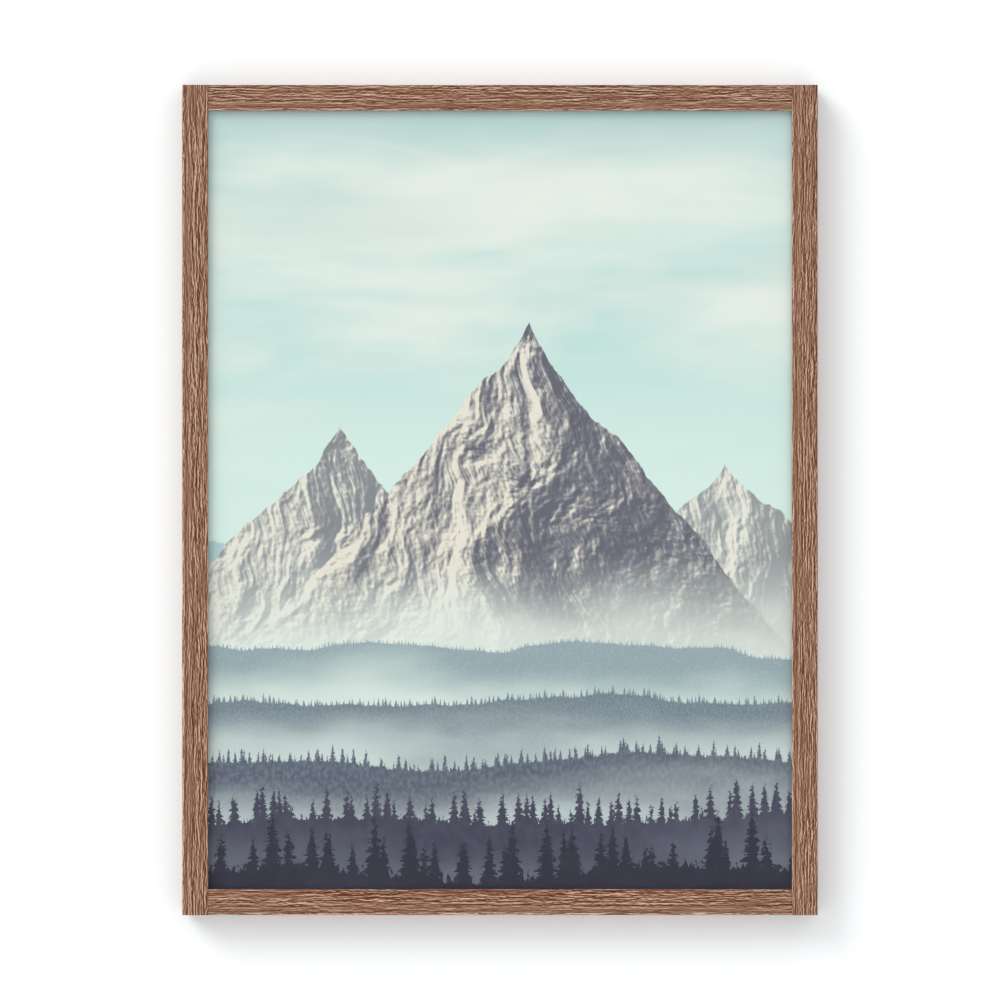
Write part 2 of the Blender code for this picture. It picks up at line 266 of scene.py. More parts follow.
def end_grain():
    """The sawn ends: growth rings as short arcs, with open pores between them."""
    start = new_finish("stained end grain")
    _, r = start
    place = r.coordinates()
    flat = r.stretch(place, 1, 1, 0)
    from_pith = r.add("VectorMath", {0: flat, 1: PITH}, output="Value", operation="DISTANCE")
    sway = r.maths("MULTIPLY", r.noise(r.stretch(flat, *RING_SWAYS), 2.0), 5.0)
    rings = r.maths("SINE", r.maths("MULTIPLY_ADD", from_pith, RING_TURNS, sway))
    specks = r.noise(r.stretch(place, *END_PORES), 2.0, 0.7)
    tone = r.maths("MULTIPLY_ADD", rings, RING_TONE, 0.34)
    tone = r.maths("MULTIPLY_ADD", r.span(specks, 0.55, 0.75), END_PORE_TONE, tone)
    colour = r.gradient(tone, STAIN_STOPS, [seen(*stain) for stain in STAIN])
    relief = r.bump(specks, END_PORE_DEPTH, 0.8)
    return finish(start, colour, 0.8, relief, Specular_IOR_Level=0.25)


# How the brushed grain sways, and the waves that it is made of: how far or high, how long across and along
# the bar, and what is added to the bar's seed.
GRAIN_SWAYS = (
    (0.0009, 0.020, 0.030, 0),
    (0.00022, 0.006, 0.008, 3),
)
GRAIN_WAVES = (
    (0.90, 0.00100, 0.0220, 11),
    (0.90, 0.00090, 0.0085, 23),
    (0.80, 0.00080, 0.0024, 31),
    (0.45, 0.00110, 0.2000, 41),
)


def grain_height(across, along, seed):
    """How high the brushed surface stands here, about 0: pores lie below that and hard grain above."""
    for far, wide, long, extra in GRAIN_SWAYS:
        across += far * noise.noise((along / long, across / wide, seed + extra))
    height = 0.0
    for high, wide, long, extra in GRAIN_WAVES:
        height += high * noise.noise((across / wide, along / long, seed + extra))
    strength = 0.9 + noise.noise((across / 0.0045, along / 0.040, seed + 37))
    return height * min(max(strength, 0.3), 1.6)


def share_of(part, whole):
    return min(max(part / whole, 0), 1)


def ease(bm, edges, width, steps=2):
    bmesh.ops.bevel(
        bm, geom=edges, offset=width, segments=steps, profile=0.5, affect="EDGES", material=-1
    )


def pull(bm, faces, shift, narrow=1.0):
    """Extrudes these faces, and moves and narrows what grew; gives back its vertices and its faces."""
    edges = dict.fromkeys(edge for face in faces for edge in face.edges)
    grown = bmesh.ops.extrude_face_region(bm, geom=[*faces, *edges])["geom"]
    moved = [item for item in grown if isinstance(item, bmesh.types.BMVert)]
    bmesh.ops.translate(bm, vec=shift, verts=moved)
    bmesh.ops.scale(bm, vec=(narrow, narrow, 1), verts=moved)
    return moved, [item for item in grown if isinstance(item, bmesh.types.BMFace)]


def runs_along(edge, length):
    return edge.calc_length() > 0.9 * length


def faces_end(face):
    return abs(face.normal.z) > 0.9


TOUCHING = 1e-6
TONE_GAIN = 0.8  # how soon the grain's tones reach their darkest and palest
# A flank's slope is painted into the tone as highlight and shade, as light from one side would fall on it.
FLANK_PAINTED_LIGHT = 3  # how much a flank's slope counts in its tone, beside its height
SHARP = math.radians(38)


def brushed_bar(length, seed, lit, highlit_arris, tongue=0.0):
    """A rebated bar along Z, with its sight edge at x = 0, its outer side at x = FACE and its front at y = 0.

    Flanks of the grain that rise towards +x get painted highlight when lit is 1, and painted shade when it is
    -1, as light from one side would fall on them. The tone is also darker where the grain sinks, partly as
    stain in the pores and partly as painted shade. A pale line of painted highlight runs along the arris at
    the x given as the fourth argument."""
    bm = bmesh.new()
    outline = ((0, 0), (FACE, 0), (FACE, DEPTH), (REBATE, DEPTH), (REBATE, LIP), (0, LIP))
    foot = bm.faces.new([bm.verts.new((x, y, -length / 2)) for x, y in outline])
    pull(bm, [foot], (0, 0, length))
    arrises = [
        edge
        for edge in bm.edges
        if runs_along(edge, length) and (Vector((REBATE, LIP)) - edge.verts[0].co.xy).length > ARRIS
    ]
    ease(bm, arrises, ARRIS, 3)
    if tongue:
        split = LIP + TONGUE_GAP
        everything = bm.verts[:] + bm.edges[:] + bm.faces[:]
        bmesh.ops.bisect_plane(
            bm, geom=everything, dist=TOUCHING, plane_co=(0, split, 0), plane_no=(0, 1, 0)
        )
        bm.normal_update()
        for end in (-1, 1):
            caps = [
                face
                for face in bm.faces
                if faces_end(face)
                and face.calc_center_median().z * end > 0
                and face.calc_center_median().y > split
            ]
            pull(bm, caps, (0, 0, end * tongue))
    long_edges = [edge for edge in bm.edges if runs_along(edge, length)]
    rows = round(length / GRAIN_ALONG) - 1
    bmesh.ops.subdivide_edges(bm, edges=long_edges, cuts=rows, use_grid_fill=True)
    shown = {}
    for edge in bm.edges:
        a, b = (vert.co for vert in edge.verts)
        in_front = max(a.y, b.y) < TOUCHING
        at_side = min(a.x, b.x) > FACE - TOUCHING or max(a.x, b.x) < TOUCHING
        wide = abs(a.z - b.z) < TOUCHING and (a - b).length > 2 * ARRIS
        if wide and (in_front or at_side):
            shown.setdefault(round((a - b).length / GRAIN_ACROSS) - 1, []).append(edge)
    for columns, edges in shown.items():
        bmesh.ops.subdivide_edges(bm, edges=edges, cuts=columns, use_grid_fill=True)

    grain_and_painted_light = bm.verts.layers.float.new("grain")
    for vert in bm.verts:
        x, y, z = vert.co
        inward = Vector((0, max(1 - y / ARRIS, 0), 0))
        inward.x = max(1 - x / ARRIS, 0) - max((x - FACE) / ARRIS + 1, 0)
        across = x + y if x > FACE / 2 else x - y
        before = grain_height(across - FLANK, z, seed)
        after = grain_height(across + FLANK, z, seed)
        height = (before + after) / 2
        inset = abs(across - highlit_arris)
        lines = sum(pale * math.exp(-(((inset - far) / wide) ** 2)) for far, wide, pale in LONG_LINES)
        smooth = share_of(inset - SMOOTHED[0], SMOOTHED_ENDS[0])
        smooth *= share_of(SMOOTHED[1] - inset, SMOOTHED_ENDS[1])
        # The tone holds the grain's height, partly painted shade in the sunk grain, and painted highlight and
        # shade on the flanks.
        relief = math.tanh(TONE_GAIN * (height + FLANK_PAINTED_LIGHT * lit * (after - before)))
        vert[grain_and_painted_light] = 0.5 + 0.50 * (1 - SMOOTHED_SHARE * smooth) * relief + lines
        sunk = GRAIN_DEPTH * (1 - share_of(0.5 + 0.45 * height, 1))
        sunk *= share_of(DEPTH - ARRIS - y, GRAIN_FADE)
        if inward.length > 0:
            vert.co += inward.normalized() * sunk
    bm.normal_update()
    for face in bm.faces:
        centre = face.calc_center_median()
        face.smooth = True
        if faces_end(face):
            face.material_index = 1
            face.smooth = False
        elif centre.y > DEPTH - ARRIS or (centre.y > LIP and centre.x < REBATE + ARRIS):
            face.material_index = 2
    for edge in bm.edges:
        edge.smooth = len(edge.link_faces) == 2 and edge.calc_face_angle(0) < SHARP
    return bm


def piece(name, bm, materials, node=None):
    """Makes the mesh a piece of the object, in the place of its CAD node."""
    bmesh.ops.recalc_face_normals(bm, faces=bm.faces)
    mesh = bpy.data.meshes.new(name)
    bm.to_mesh(mesh)
    bm.free()
    for material in materials:
        mesh.materials.append(material)
    made = bpy.data.objects.new(name, mesh)
    bpy.context.scene.collection.objects.link(made)
    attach(made, "root")
    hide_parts(node)
    return made


STAIN_BACK = ((104, 70, 52), (128, 92, 72), (148, 113, 92), (164, 130, 108), (184, 150, 128))
UPRIGHT = (0, 0, 0)
LEVEL = (0, math.radians(90), 0)
upright_wood = stained_wood("brown stained wood, upright", UPRIGHT)
level_wood = stained_wood("brown stained wood, level", LEVEL)
upright_back = stained_wood("planed wood, upright", UPRIGHT, False, STAIN_BACK, 0.7)
level_back = stained_wood("planed wood, level", LEVEL, False, STAIN_BACK, 0.7)
sawn_end = end_grain()

# Each bar's side of the frame, which also sets the flanks that get painted highlight, the seed of its grain,
# and the x of the arris that gets a line of painted highlight.
for name, side, seed, highlit_arris in (("left_stile", -1, 2.3, FACE), ("right_stile", 1, 17.9, 0)):
    bm = brushed_bar(TOP - BOTTOM, seed, side, highlit_arris)
    to_frame = Matrix.Translation((side * SIGHT_X, FRONT, MIDDLE)) @ Matrix.Diagonal((side, 1, 1, 1))
    bmesh.ops.transform(bm, matrix=to_frame, verts=bm.verts)
    piece(f"brushed_{name}", bm, (upright_wood, sawn_end, upright_back), name)

# The rails' flanks that face up get painted highlight, and those that face down get painted shade.
for name, side, seed, highlit_arris in (("top_rail", 1, 41.2, 0), ("bottom_rail", -1, 66.6, FACE)):
    reach = SIGHT_X - JOINT_GAP
    bm = brushed_bar(2 * reach, seed, -side, highlit_arris, tongue=rail_end - reach)
    axes = Matrix(((0, 0, 1, 0), (0, 1, 0, FRONT), (side, 0, 0, MIDDLE + side * SIGHT_Z), (0, 0, 0, 1)))
    bmesh.ops.transform(bm, matrix=axes, verts=bm.verts)
    piece(f"brushed_{name}", bm, (level_wood, sawn_end, level_back), name)

# Picture glass: a clear sheet of 1.5 mm drawn glass behind the lips, with the faint waves that drawing leaves
# and a coating that cuts its reflections. It keeps its CAD solid, and lets light through to the paper
# unhindered, as a real pane all but does.
DRAWN_WAVES = (7, 7, 34)  # features per metre
WAVE_HEIGHT = 0.00004
CLEAR = (0.99, 1.0, 0.995, 1)
COATING = (0.17, 0.22, 0.19, 1)  # what the coating leaves of the reflections


def shader_of(material):
    """The material's shader, and the socket that shows it."""
    nodes = material.node_tree.nodes
    shader = next(node for node in nodes if node.type == "BSDF_PRINCIPLED")
    out = next(node for node in nodes if node.type == "OUTPUT_MATERIAL")
    return shader.outputs[0], out.inputs["Surface"]


start = new_finish("picture glass")
pane, r = start
waves = r.bump(r.noise(r.stretch(r.coordinates(), *DRAWN_WAVES), 1.0), WAVE_HEIGHT, 0.3)
finish(start, CLEAR, 0.0, waves, Transmission_Weight=1.0, IOR=1.5, Specular_Tint=COATING)
glass, surface = shader_of(pane)
for ray in ("Is Shadow Ray", "Is Diffuse Ray"):
    passes = r.add("LightPath", output=ray)
    glass = r.add("MixShader", {0: passes, 1: glass, 2: r.add("BsdfTransparent")})
r.feed(surface, glass)


def dress(node, material, bevel=0.0):
    """Gives a CAD node its finish, and eases its edges where that shows."""
    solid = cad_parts[node]
    solid.data.materials.clear()
    solid.data.materials.append(material)
    if bevel:
        solid.modifiers.new("joined", "WELD").merge_threshold = 1e-5
        eased = solid.modifiers.new("eased", "BEVEL")
        eased.width = bevel
        eased.segments = 2
        eased.limit_method = "ANGLE"


dress("picture_glass", pane)

# Print: pigment ink on a sheet of matt paper. The design is a generic misty landscape in aqua, cream and
# violet grey: a soft banded sky, bare peaks, and wooded hills that grow darker towards the foot.
PICTURE_WIDTH = 2 * SIGHT_X
PRINT_LEVEL = 1.13  # what a white print reads in this light, behind its glass
PAPER_TOOTH = (7000, 7000, 7000)


def ink(red, green, blue):
    return seen(red, green, blue, PRINT_LEVEL)


def scatter(r, x, y, wide, high, seed, detail=2.0, roughness=0.5, distortion=0.0):
    """Noise over the picture, with this many features to the picture's width across and up."""
    place = r.point(r.maths("MULTIPLY", x, wide), r.maths("MULTIPLY", y, high), seed)
    return r.noise(place, detail, roughness, distortion)


def crest_line(r, u, height, swell, spread, seed, detail=4.0, roughness=0.45):
    """Height of a hill's outline at each place across the picture."""
    sockets = {
        "W": r.maths("MULTIPLY_ADD", u, spread, seed),
        "Scale": 1.0,
        "Detail": detail,
        "Roughness": roughness,
    }
    line = r.add("TexNoise", sockets, noise_dimensions="1D")
    return r.maths("MULTIPLY_ADD", line, 2 * swell, height - swell)


TIERS = 6.5  # of boughs, one above the other, on a tree
TREE_SLOPE = 8.4  # how steeply a tree's outline falls away at the top of a tier
TIER_SPREAD = 4.2  # how much less steeply it does at the tier's foot, where the boughs spread


def conifers(r, u, v, height, density, seed):
    """How far a row of firs stands above its hill at each place across, with a tree's boughs in tiers."""
    boughs = scatter(r, u, v, 120.0, 230.0, seed, 2.0, 0.7)
    ragged = r.maths("SUBTRACT", boughs, 0.5)
    place = r.maths("MULTIPLY_ADD", ragged, 0.50 / density, r.maths("ADD", u, seed))
    cells = r.tree.nodes.new("ShaderNodeTexVoronoi")
    cells.voronoi_dimensions = "1D"
    r.feed(cells.inputs["W"], place)
    r.feed(cells.inputs["Scale"], density)
    tree = r.add("SeparateColor", {0: cells.outputs["Color"]})
    size = r.maths("MULTIPLY_ADD", tree, 0.6 * height, 0.4 * height)
    tier = r.maths("MULTIPLY_ADD", v, -TIERS / height, r.maths("MULTIPLY", tree, 7.0))
    steep = r.maths("MULTIPLY_ADD", r.maths("FRACT", tier), TIER_SPREAD / density, -TREE_SLOPE / density)
    return r.maths("MULTIPLY_ADD", cells.outputs["Distance"], steep, size)


def peak(r, u, top, place, left, right):
    """Outline of a mountain that falls away at these slopes to each side of its summit."""
    aside = r.maths("SUBTRACT", u, place)
    down = r.maths("MULTIPLY", r.maths("MAXIMUM", r.maths("MULTIPLY", aside, -1.0), 0.0), left)
    down = r.maths("MULTIPLY_ADD", r.maths("MAXIMUM", aside, 0.0), right, down)
    return r.maths("SUBTRACT", top, r.maths("POWER", r.maths("ADD", down, 0.0001), 0.86))


start = new_finish("printed paper")
_, r = start
split = r.tree.nodes.new("ShaderNodeSeparateXYZ")
r.feed(split.inputs[0], r.coordinates())
u = r.maths("DIVIDE", split.outputs[0], PICTURE_WIDTH)
v = r.maths("DIVIDE", r.maths("SUBTRACT", split.outputs[2], MIDDLE - SIGHT_Z), PICTURE_WIDTH)

sky = r.mix(r.span(v, 0.70, 0.98), ink(205, 228, 220), ink(184, 216, 211))
sky = r.mix(r.span(v, 1.12, 1.34), sky, ink(186, 210, 207))
clouds = scatter(r, u, v, 1.3, 5.2, 3.7, 5.0, 0.5, 0.4)
wisps = scatter(r, u, v, 3.5, 17.0, 9.1, 4.0, 0.55, 0.3)
clouds = r.maths("MULTIPLY_ADD", wisps, 0.2, r.maths("MULTIPLY", clouds, 0.8))
belt = r.span(r.maths("ABSOLUTE", r.maths("SUBTRACT", v, 1.10)), 0.26, 0.04, -0.12, 0.14)
sky = r.mix(r.span(r.maths("ADD", clouds, belt), 0.40, 0.68), sky, ink(222, 230, 222))
gloom = scatter(r, u, v, 1.1, 6.0, 21.3, 3.0)
colour = r.mix(r.span(gloom, 0.5, 0.75, 0.0, 0.3), sky, ink(160, 194, 194))

below = r.maths("SUBTRACT", crest_line(r, u, 0.60, 0.10, 3.1, 4.2, 6.0, 0.55), v)
tone = r.mix(r.span(below, 0.0, 0.16), ink(168, 198, 199), ink(206, 222, 217))
colour = r.mix(r.span(below, -0.003, 0.003), colour, tone)


def rock_face(r, aside, drop, seed):
    """Height of a bare rock face, whose gullies spread from the summit as they run down."""
    sway = scatter(r, aside, drop, 5.0, 5.0, seed)
    fan = r.maths("DIVIDE", aside, r.maths("MULTIPLY_ADD", drop, 0.75, 0.20))
    across = r.maths("MULTIPLY_ADD", fan, 3.5, r.maths("MULTIPLY", sway, 1.5))
    down = r.maths("MULTIPLY_ADD", drop, 3.6, r.maths("MULTIPLY", sway, 1.0))
    gullies = r.noise(r.point(across, down, seed + 5), 9.0, 0.60)
    crags = scatter(r, aside, drop, 15.0, 12.0, seed + 9, 8.0, 0.64)
    return r.maths("MULTIPLY_ADD", crags, 0.34, gullies)


ROCK_INKS = (ink(74, 72, 92), ink(112, 110, 122), ink(166, 163, 157), ink(224, 218, 204))
ROCK_STOPS = (0.08, 0.34, 0.62, 0.90)
LIT_FROM = (0.0045, 0.0035)  # a lit flank falls away over this step, to the right and down


def mountain(r, colour, top, place, left, right, seed, haze):
    """Paints a bare peak over the colour so far, lit from the upper left and veiled towards its foot."""
    outline = crest_line(r, u, 0.0, 0.050, 5.0, seed, 10.0, 0.60)
    below = r.maths("SUBTRACT", r.maths("ADD", peak(r, u, top, place, left, right), outline), v)
    drop = r.maths("MAXIMUM", r.maths("SUBTRACT", top, v), 0.0)
    aside = r.maths("SUBTRACT", u, place)
    here = rock_face(r, aside, drop, seed)
    step = (r.maths("ADD", aside, LIT_FROM[0]), r.maths("ADD", drop, LIT_FROM[1]))
    there = rock_face(r, *step, seed)
    slope = r.maths("MULTIPLY", r.maths("SUBTRACT", there, here), 11.0)
    spine = r.maths("MULTIPLY_ADD", r.maths("SUBTRACT", here, 0.67), 0.9, aside)
    lit = r.span(r.maths("ADD", slope, r.span(spine, 0.06, -0.06, -0.30, 0.16)), -0.75, 0.70)
    grit = scatter(r, u, v, 70.0, 50.0, 8.0, 4.0, 0.65)
    lit = r.maths("MULTIPLY_ADD", r.maths("SUBTRACT", grit, 0.5), 0.45, lit)
    rock = r.gradient(lit, ROCK_STOPS, ROCK_INKS)
    veil = scatter(r, u, v, 2.6, 6.0, seed, 4.0)
    mist = r.span(r.maths("MULTIPLY_ADD", veil, 0.22, v), 0.72, 0.46, haze, 0.93)
    rock = r.mix(mist, rock, ink(218, 228, 220))
    return r.mix(r.span(below, -0.0012, 0.0012), colour, rock)


# Each peak's height, its place across, its slopes to the left and right, its seed, and the haze before it.
for shape in (
    (0.745, 0.385, 1.00, 0.70, 71.3, 0.34),
    (0.790, -0.275, 0.80, 0.95, 12.9, 0.24),
    (0.985, 0.050, 1.05, 1.15, 33.1, 0.08),
):
    colour = mountain(r, colour, *shape)

# The hills from the farthest to the nearest: a crest's height, swell, spread and seed, its ink and that of
# its foot, and how tall and how close its firs are, in parts of the picture's width.
for height, swell, spread, seed, crest_ink, foot_ink, firs, density in (
    (0.415, 0.050, 2.6, 11.3, ink(140, 160, 166), ink(208, 222, 215), 0.010, 150.0),
    (0.315, 0.055, 2.2, 57.1, ink(112, 126, 138), ink(196, 210, 206), 0.018, 95.0),
    (0.215, 0.045, 1.9, 83.9, ink(88, 96, 112), ink(180, 192, 192), 0.034, 52.0),
    (0.115, 0.036, 1.7, 129.4, ink(66, 66, 84), ink(104, 108, 122), 0.075, 26.0),
    (0.020, 0.050, 1.5, 210.8, ink(48, 46, 62), ink(70, 68, 84), 0.110, 17.0),
):
    ground = crest_line(r, u, height, swell, spread, seed)
    row = r.maths(
        "MAXIMUM",
        conifers(r, u, v, firs, density, seed),
        conifers(r, u, v, 0.8 * firs, 1.37 * density, seed + 3.3),
    )
    brush = scatter(r, u, v, 9 * density, 60.0, seed, 3.0, 0.7)
    row = r.maths("MAXIMUM", row, r.span(brush, 0.35, 0.75, 0.0, 0.22 * firs))
    edge = r.maths("SUBTRACT", r.maths("ADD", ground, row), v)
    drift = scatter(r, u, v, 2.2, 7.0, seed, 3.0)
    deep = r.maths("MULTIPLY_ADD", drift, 0.20, r.maths("SUBTRACT", r.maths("SUBTRACT", ground, v), 0.10))
    leaves = scatter(r, u, v, 3 * density, 2 * density, seed, 3.0, 0.6)
    tone = r.mix(r.span(leaves, 0.4, 0.7, 0.0, 0.16), crest_ink, foot_ink)
    tone = r.mix(r.span(deep, 0.0, 0.13), tone, foot_ink)
    colour = r.mix(r.span(edge, -0.0009, 0.0009), colour, tone)
tooth = r.noise(r.stretch(r.coordinates(), *PAPER_TOOTH), 2.0)
paper = finish(start, colour, r.span(tooth, 0.3, 0.7, 0.62, 0.74), Specular_IOR_Level=0.2)
dress("print_sheet", paper)

# Backing board: 3 mm hardboard, pressed wood fibre, with the mark of the press's wire screen on the side
# that shows. It lies behind the print and is held by the tabs.
SCREEN_PITCH = 0.0016
FIBRES = (420, 420, 420)
CLOTS = (40, 40, 40)
BOARD_RELIEF = 0.00012
BOARD_EASE = 0.0003

start = new_finish("pressed hardboard")
_, r = start
place = r.coordinates()
split = r.tree.nodes.new("ShaderNodeSeparateXYZ")
r.feed(split.inputs[0], place)
wires = [
    r.maths("SINE", r.maths("MULTIPLY", split.outputs[axis], 2 * math.pi / SCREEN_PITCH))
    for axis in (0, 2)
]
screen = r.maths("MULTIPLY", wires[0], wires[1])
fibres = r.noise(r.stretch(place, *FIBRES), 5.0, 0.7, 1.5)
clots = r.noise(r.stretch(place, *CLOTS), 4.0, 0.6)
tone = r.maths("MULTIPLY_ADD", fibres, 0.85, r.maths("MULTIPLY", clots, 0.16))
browns = (seen(92, 62, 42), seen(124, 88, 60), seen(158, 120, 86))
colour = r.gradient(tone, (0.32, 0.52, 0.72), browns)
colour = r.mix(r.span(screen, -0.2, -0.9, 0.0, 0.35), colour, seen(84, 56, 38))
relief = r.bump(r.maths("MULTIPLY_ADD", screen, 0.5, fibres), BOARD_RELIEF, 0.8)
hardboard = finish(start, colour, 0.82, relief, Specular_IOR_Level=0.25)
dress("backing_board", hardboard, bevel=BOARD_EASE)

# Retaining tabs: blued spring steel, 0.5 mm thick, with one end driven into the rebate's wall and the other
# round end pressed flat on the board.
TAB_WIDTH = 0.009
TAB_THICKNESS = 0.0005
TAB_POINT = 0.0038  # how much is cut off the corners at the driven end
TAB_EASE = 0.00008
ROUND_REST = 0.00002  # stays straight between two rounded corners

SCRATCH_SHAPE = (9, 1.2, 1.6)  # narrow across, and long along the other two axes

scuff_group, r, given, result = new_effect(
    "handling marks",
    (("Place", "Vector"), ("Size", "Float")),
    (("Scratches", "Float"), ("Clouding", "Float")),
)
sized = r.add("VectorMath", {0: given["Place"], "Scale": given["Size"]}, operation="SCALE")
r.feed(result["Clouding"], r.noise(sized, 4.0, 0.6, 0.4))
scratches = r.noise(r.stretch(sized, *SCRATCH_SHAPE), 3.0, 0.7, 0.3)
r.feed(result["Scratches"], r.span(scratches, 0.52, 0.72))


def metal(name, colours, roughness, size, bump=0.00001):
    """Plated or blued sheet steel, with cloudy patches in its colour and fine scratches in its gloss."""
    start = new_finish(name)
    _, r = start
    marks = use_effect(r, scuff_group, Place=r.coordinates(), Size=size)
    colour = r.gradient(marks["Clouding"], (0.30, 0.5, 0.72), [(*c, 1) for c in colours])
    gloss = r.maths("MULTIPLY_ADD", marks["Scratches"], 0.16, roughness - 0.06)
    gloss = r.maths("MULTIPLY_ADD", marks["Clouding"], 0.10, gloss)
    normal = r.bump(marks["Scratches"], bump, 0.5)
    return finish(start, colour, gloss, normal, Metallic=1.0)


def rim_edges(bm, angle=50):
    return [edge for edge in bm.edges if edge.calc_face_angle(0) > math.radians(angle)]


def round_corners(bm, corners, radius, steps):
    bmesh.ops.bevel(
        bm, geom=corners, offset=radius, segments=steps, profile=0.5, affect="VERTICES", material=-1
    )


def facing_wall(x, y, z):
    """Stands a piece that was made upright, with its top at z = 0, out towards the wall at this place."""
    return Matrix.Translation((x, y, z)) @ Matrix.Rotation(math.radians(-90), 4, "X")


def shade_smooth(bm, angle=35):
    for face in bm.faces:
        face.smooth = True
    for edge in bm.edges:
        edge.smooth = len(edge.link_faces) == 2 and edge.calc_face_angle(0) < math.radians(angle)


blued_steel = metal(
    "blued spring steel",
    ((0.10, 0.11, 0.135), (0.19, 0.20, 0.225), (0.29, 0.285, 0.28)),
    0.34,
    300,
)
for number in range(1, 11):
    name = f"retaining_tab_{number}"
    low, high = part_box(name)
    centre = (low + high) / 2
    size = high - low
    length = max(size.x, size.z)
    along_x = size.x > size.z
    if along_x:
        inward = Vector((-math.copysign(1, centre.x), 0, 0))
    else:
        inward = Vector((0, 0, -math.copysign(1, centre.z - MIDDLE)))
    bm = bmesh.new()
    ends = ((-length / 2, -1), (length / 2, -1), (length / 2, 1), (-length / 2, 1))
    corners = [bm.verts.new((x, side * TAB_WIDTH / 2, 0)) for x, side in ends]
    bm.faces.new(corners)
    round_corners(bm, corners[1:3], TAB_WIDTH / 2 - ROUND_REST, 10)
    round_corners(bm, corners[::3], TAB_POINT, 1)
    pull(bm, bm.faces[:], (0, 0, TAB_THICKNESS))
    bmesh.ops.translate(bm, vec=(0, 0, -TAB_THICKNESS / 2), verts=bm.verts)
    bmesh.ops.recalc_face_normals(bm, faces=bm.faces)
    ease(bm, rim_edges(bm), TAB_EASE)
    shade_smooth(bm)
    to_wall = Vector((0, 1, 0))
    turn = Matrix((inward, to_wall.cross(inward), to_wall)).transposed().to_4x4()
    bmesh.ops.transform(bm, matrix=Matrix.Translation(centre) @ turn, verts=bm.verts)
    piece(f"pressed_{name}", bm, (blued_steel,), name)

# Corner plates: flat angles stamped from 1.2 mm steel and zinc-plated, with round ends and countersunk
# holes. One lies across each butt joint and ties it.
PLATE_WIDTH = 0.010
PLATE_HOLES = (0.015, 0.027)
PLATE_EASE = 0.00018
HOLE_RADIUS = 0.0024
COUNTERSINK = 0.8  # how much a hole narrows for each unit of depth

zinc = metal(
    "bright zinc plating",
    ((0.36, 0.38, 0.41), (0.50, 0.51, 0.53), (0.60, 0.60, 0.58)),
    0.36,
    240,
)


def add_loop(bm, points):
    """A closed loop of edges through these points."""
    verts = [bm.verts.new(point) for point in points]
    return [bm.edges.new((a, b)) for a, b in zip(verts, verts[1:] + verts[:1])]


def circle(x, y, radius, steps=28):
    turns = [2 * math.pi * step / steps for step in range(steps)]
    return [(x + radius * math.cos(turn), y + radius * math.sin(turn), 0) for turn in turns]


CORNERS = ("top_left", "top_right", "bottom_left", "bottom_right")
for corner in CORNERS:
    name = f"corner_plate_{corner}"
    low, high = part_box(name)
    across = 1 if "right" in corner else -1
    up = 1 if "top" in corner else -1
    half = PLATE_WIDTH / 2
    leg = high.x - low.x - half
    thickness = high.y - low.y
    bm = bmesh.new()
    outline = ((-half, -half), (leg, -half), (leg, half), (half, half), (half, leg), (-half, leg))
    corners = [bm.verts.new((x, y, 0)) for x, y in outline]
    bm.faces.new(corners)
    rounds = [corners[i] for i in (0, 1, 2, 4, 5)]
    round_corners(bm, rounds, half - ROUND_REST, 10)
    bmesh.ops.delete(bm, geom=bm.faces[:], context="FACES_ONLY")
    outlines = bm.edges[:]
    holes = [(d, 0) for d in PLATE_HOLES] + [(0, d) for d in PLATE_HOLES]
    narrow = HOLE_RADIUS - COUNTERSINK * thickness
    for hole_x, hole_y in holes:
        outlines += add_loop(bm, circle(hole_x, hole_y, narrow))
    bmesh.ops.triangle_fill(bm, use_beauty=True, edges=outlines)
    moved, _ = pull(bm, bm.faces[:], (0, 0, thickness))
    for hole_x, hole_y in holes:
        centre = Vector((hole_x, hole_y))
        rim = [vert for vert in moved if (vert.co.xy - centre).length < HOLE_RADIUS]
        grow = HOLE_RADIUS / narrow
        spread = Matrix.Translation((hole_x, hole_y, 0)) @ Matrix.Diagonal((grow, grow, 1, 1))
        spread = spread @ Matrix.Translation((-hole_x, -hole_y, 0))
        bmesh.ops.transform(bm, matrix=spread, verts=rim)
    bmesh.ops.recalc_face_normals(bm, faces=bm.faces)
    shown = [edge for edge in rim_edges(bm, 60) if min(vert.co.z for vert in edge.verts) > thickness / 2]
    ease(bm, shown, PLATE_EASE)
    shade_smooth(bm)
    corner_x = (high.x if across > 0 else low.x) - across * half
    corner_z = (high.z if up > 0 else low.z) - up * half
    turn = Matrix(((-across, 0, 0), (0, 0, 1), (0, -up, 0))).to_4x4()
    place = Matrix.Translation((corner_x, low.y, corner_z)) @ turn
    bmesh.ops.transform(bm, matrix=place, verts=bm.verts)
    piece(f"stamped_{name}", bm, (zinc,), name)

# Corner screws: zinc-plated wood screws, whose countersunk heads with cross recesses lie flush in the
# plates' holes.
SCREW_HEAD = 0.0012
SCREW_SHANK = 0.0011
SCREW_POINT = 0.002
SCREW_EASE = 0.00012
POINTED = 0.06  # how narrow a screw or a nail is at its tip
RECESS_ARM = 0.00125
RECESS_HALF = 0.00030
RECESS_DEPTH = 0.0010
RECESS_TAPER = 0.35


def face_height(face):
    return face.calc_center_median().z


def disc(foot, top, thickness, segments=32):
    """A round piece along Z with these radii, and with its top at z = 0; gives back its top rim too."""
    bm = bmesh.new()
    bmesh.ops.create_cone(
        bm,
        cap_ends=True,
        segments=segments,
        radius1=foot,
        radius2=top,
        depth=thickness,
        matrix=Matrix.Translation((0, 0, -thickness / 2)),
    )
    bm.normal_update()
    return bm, list(max(bm.faces, key=face_height).edges)


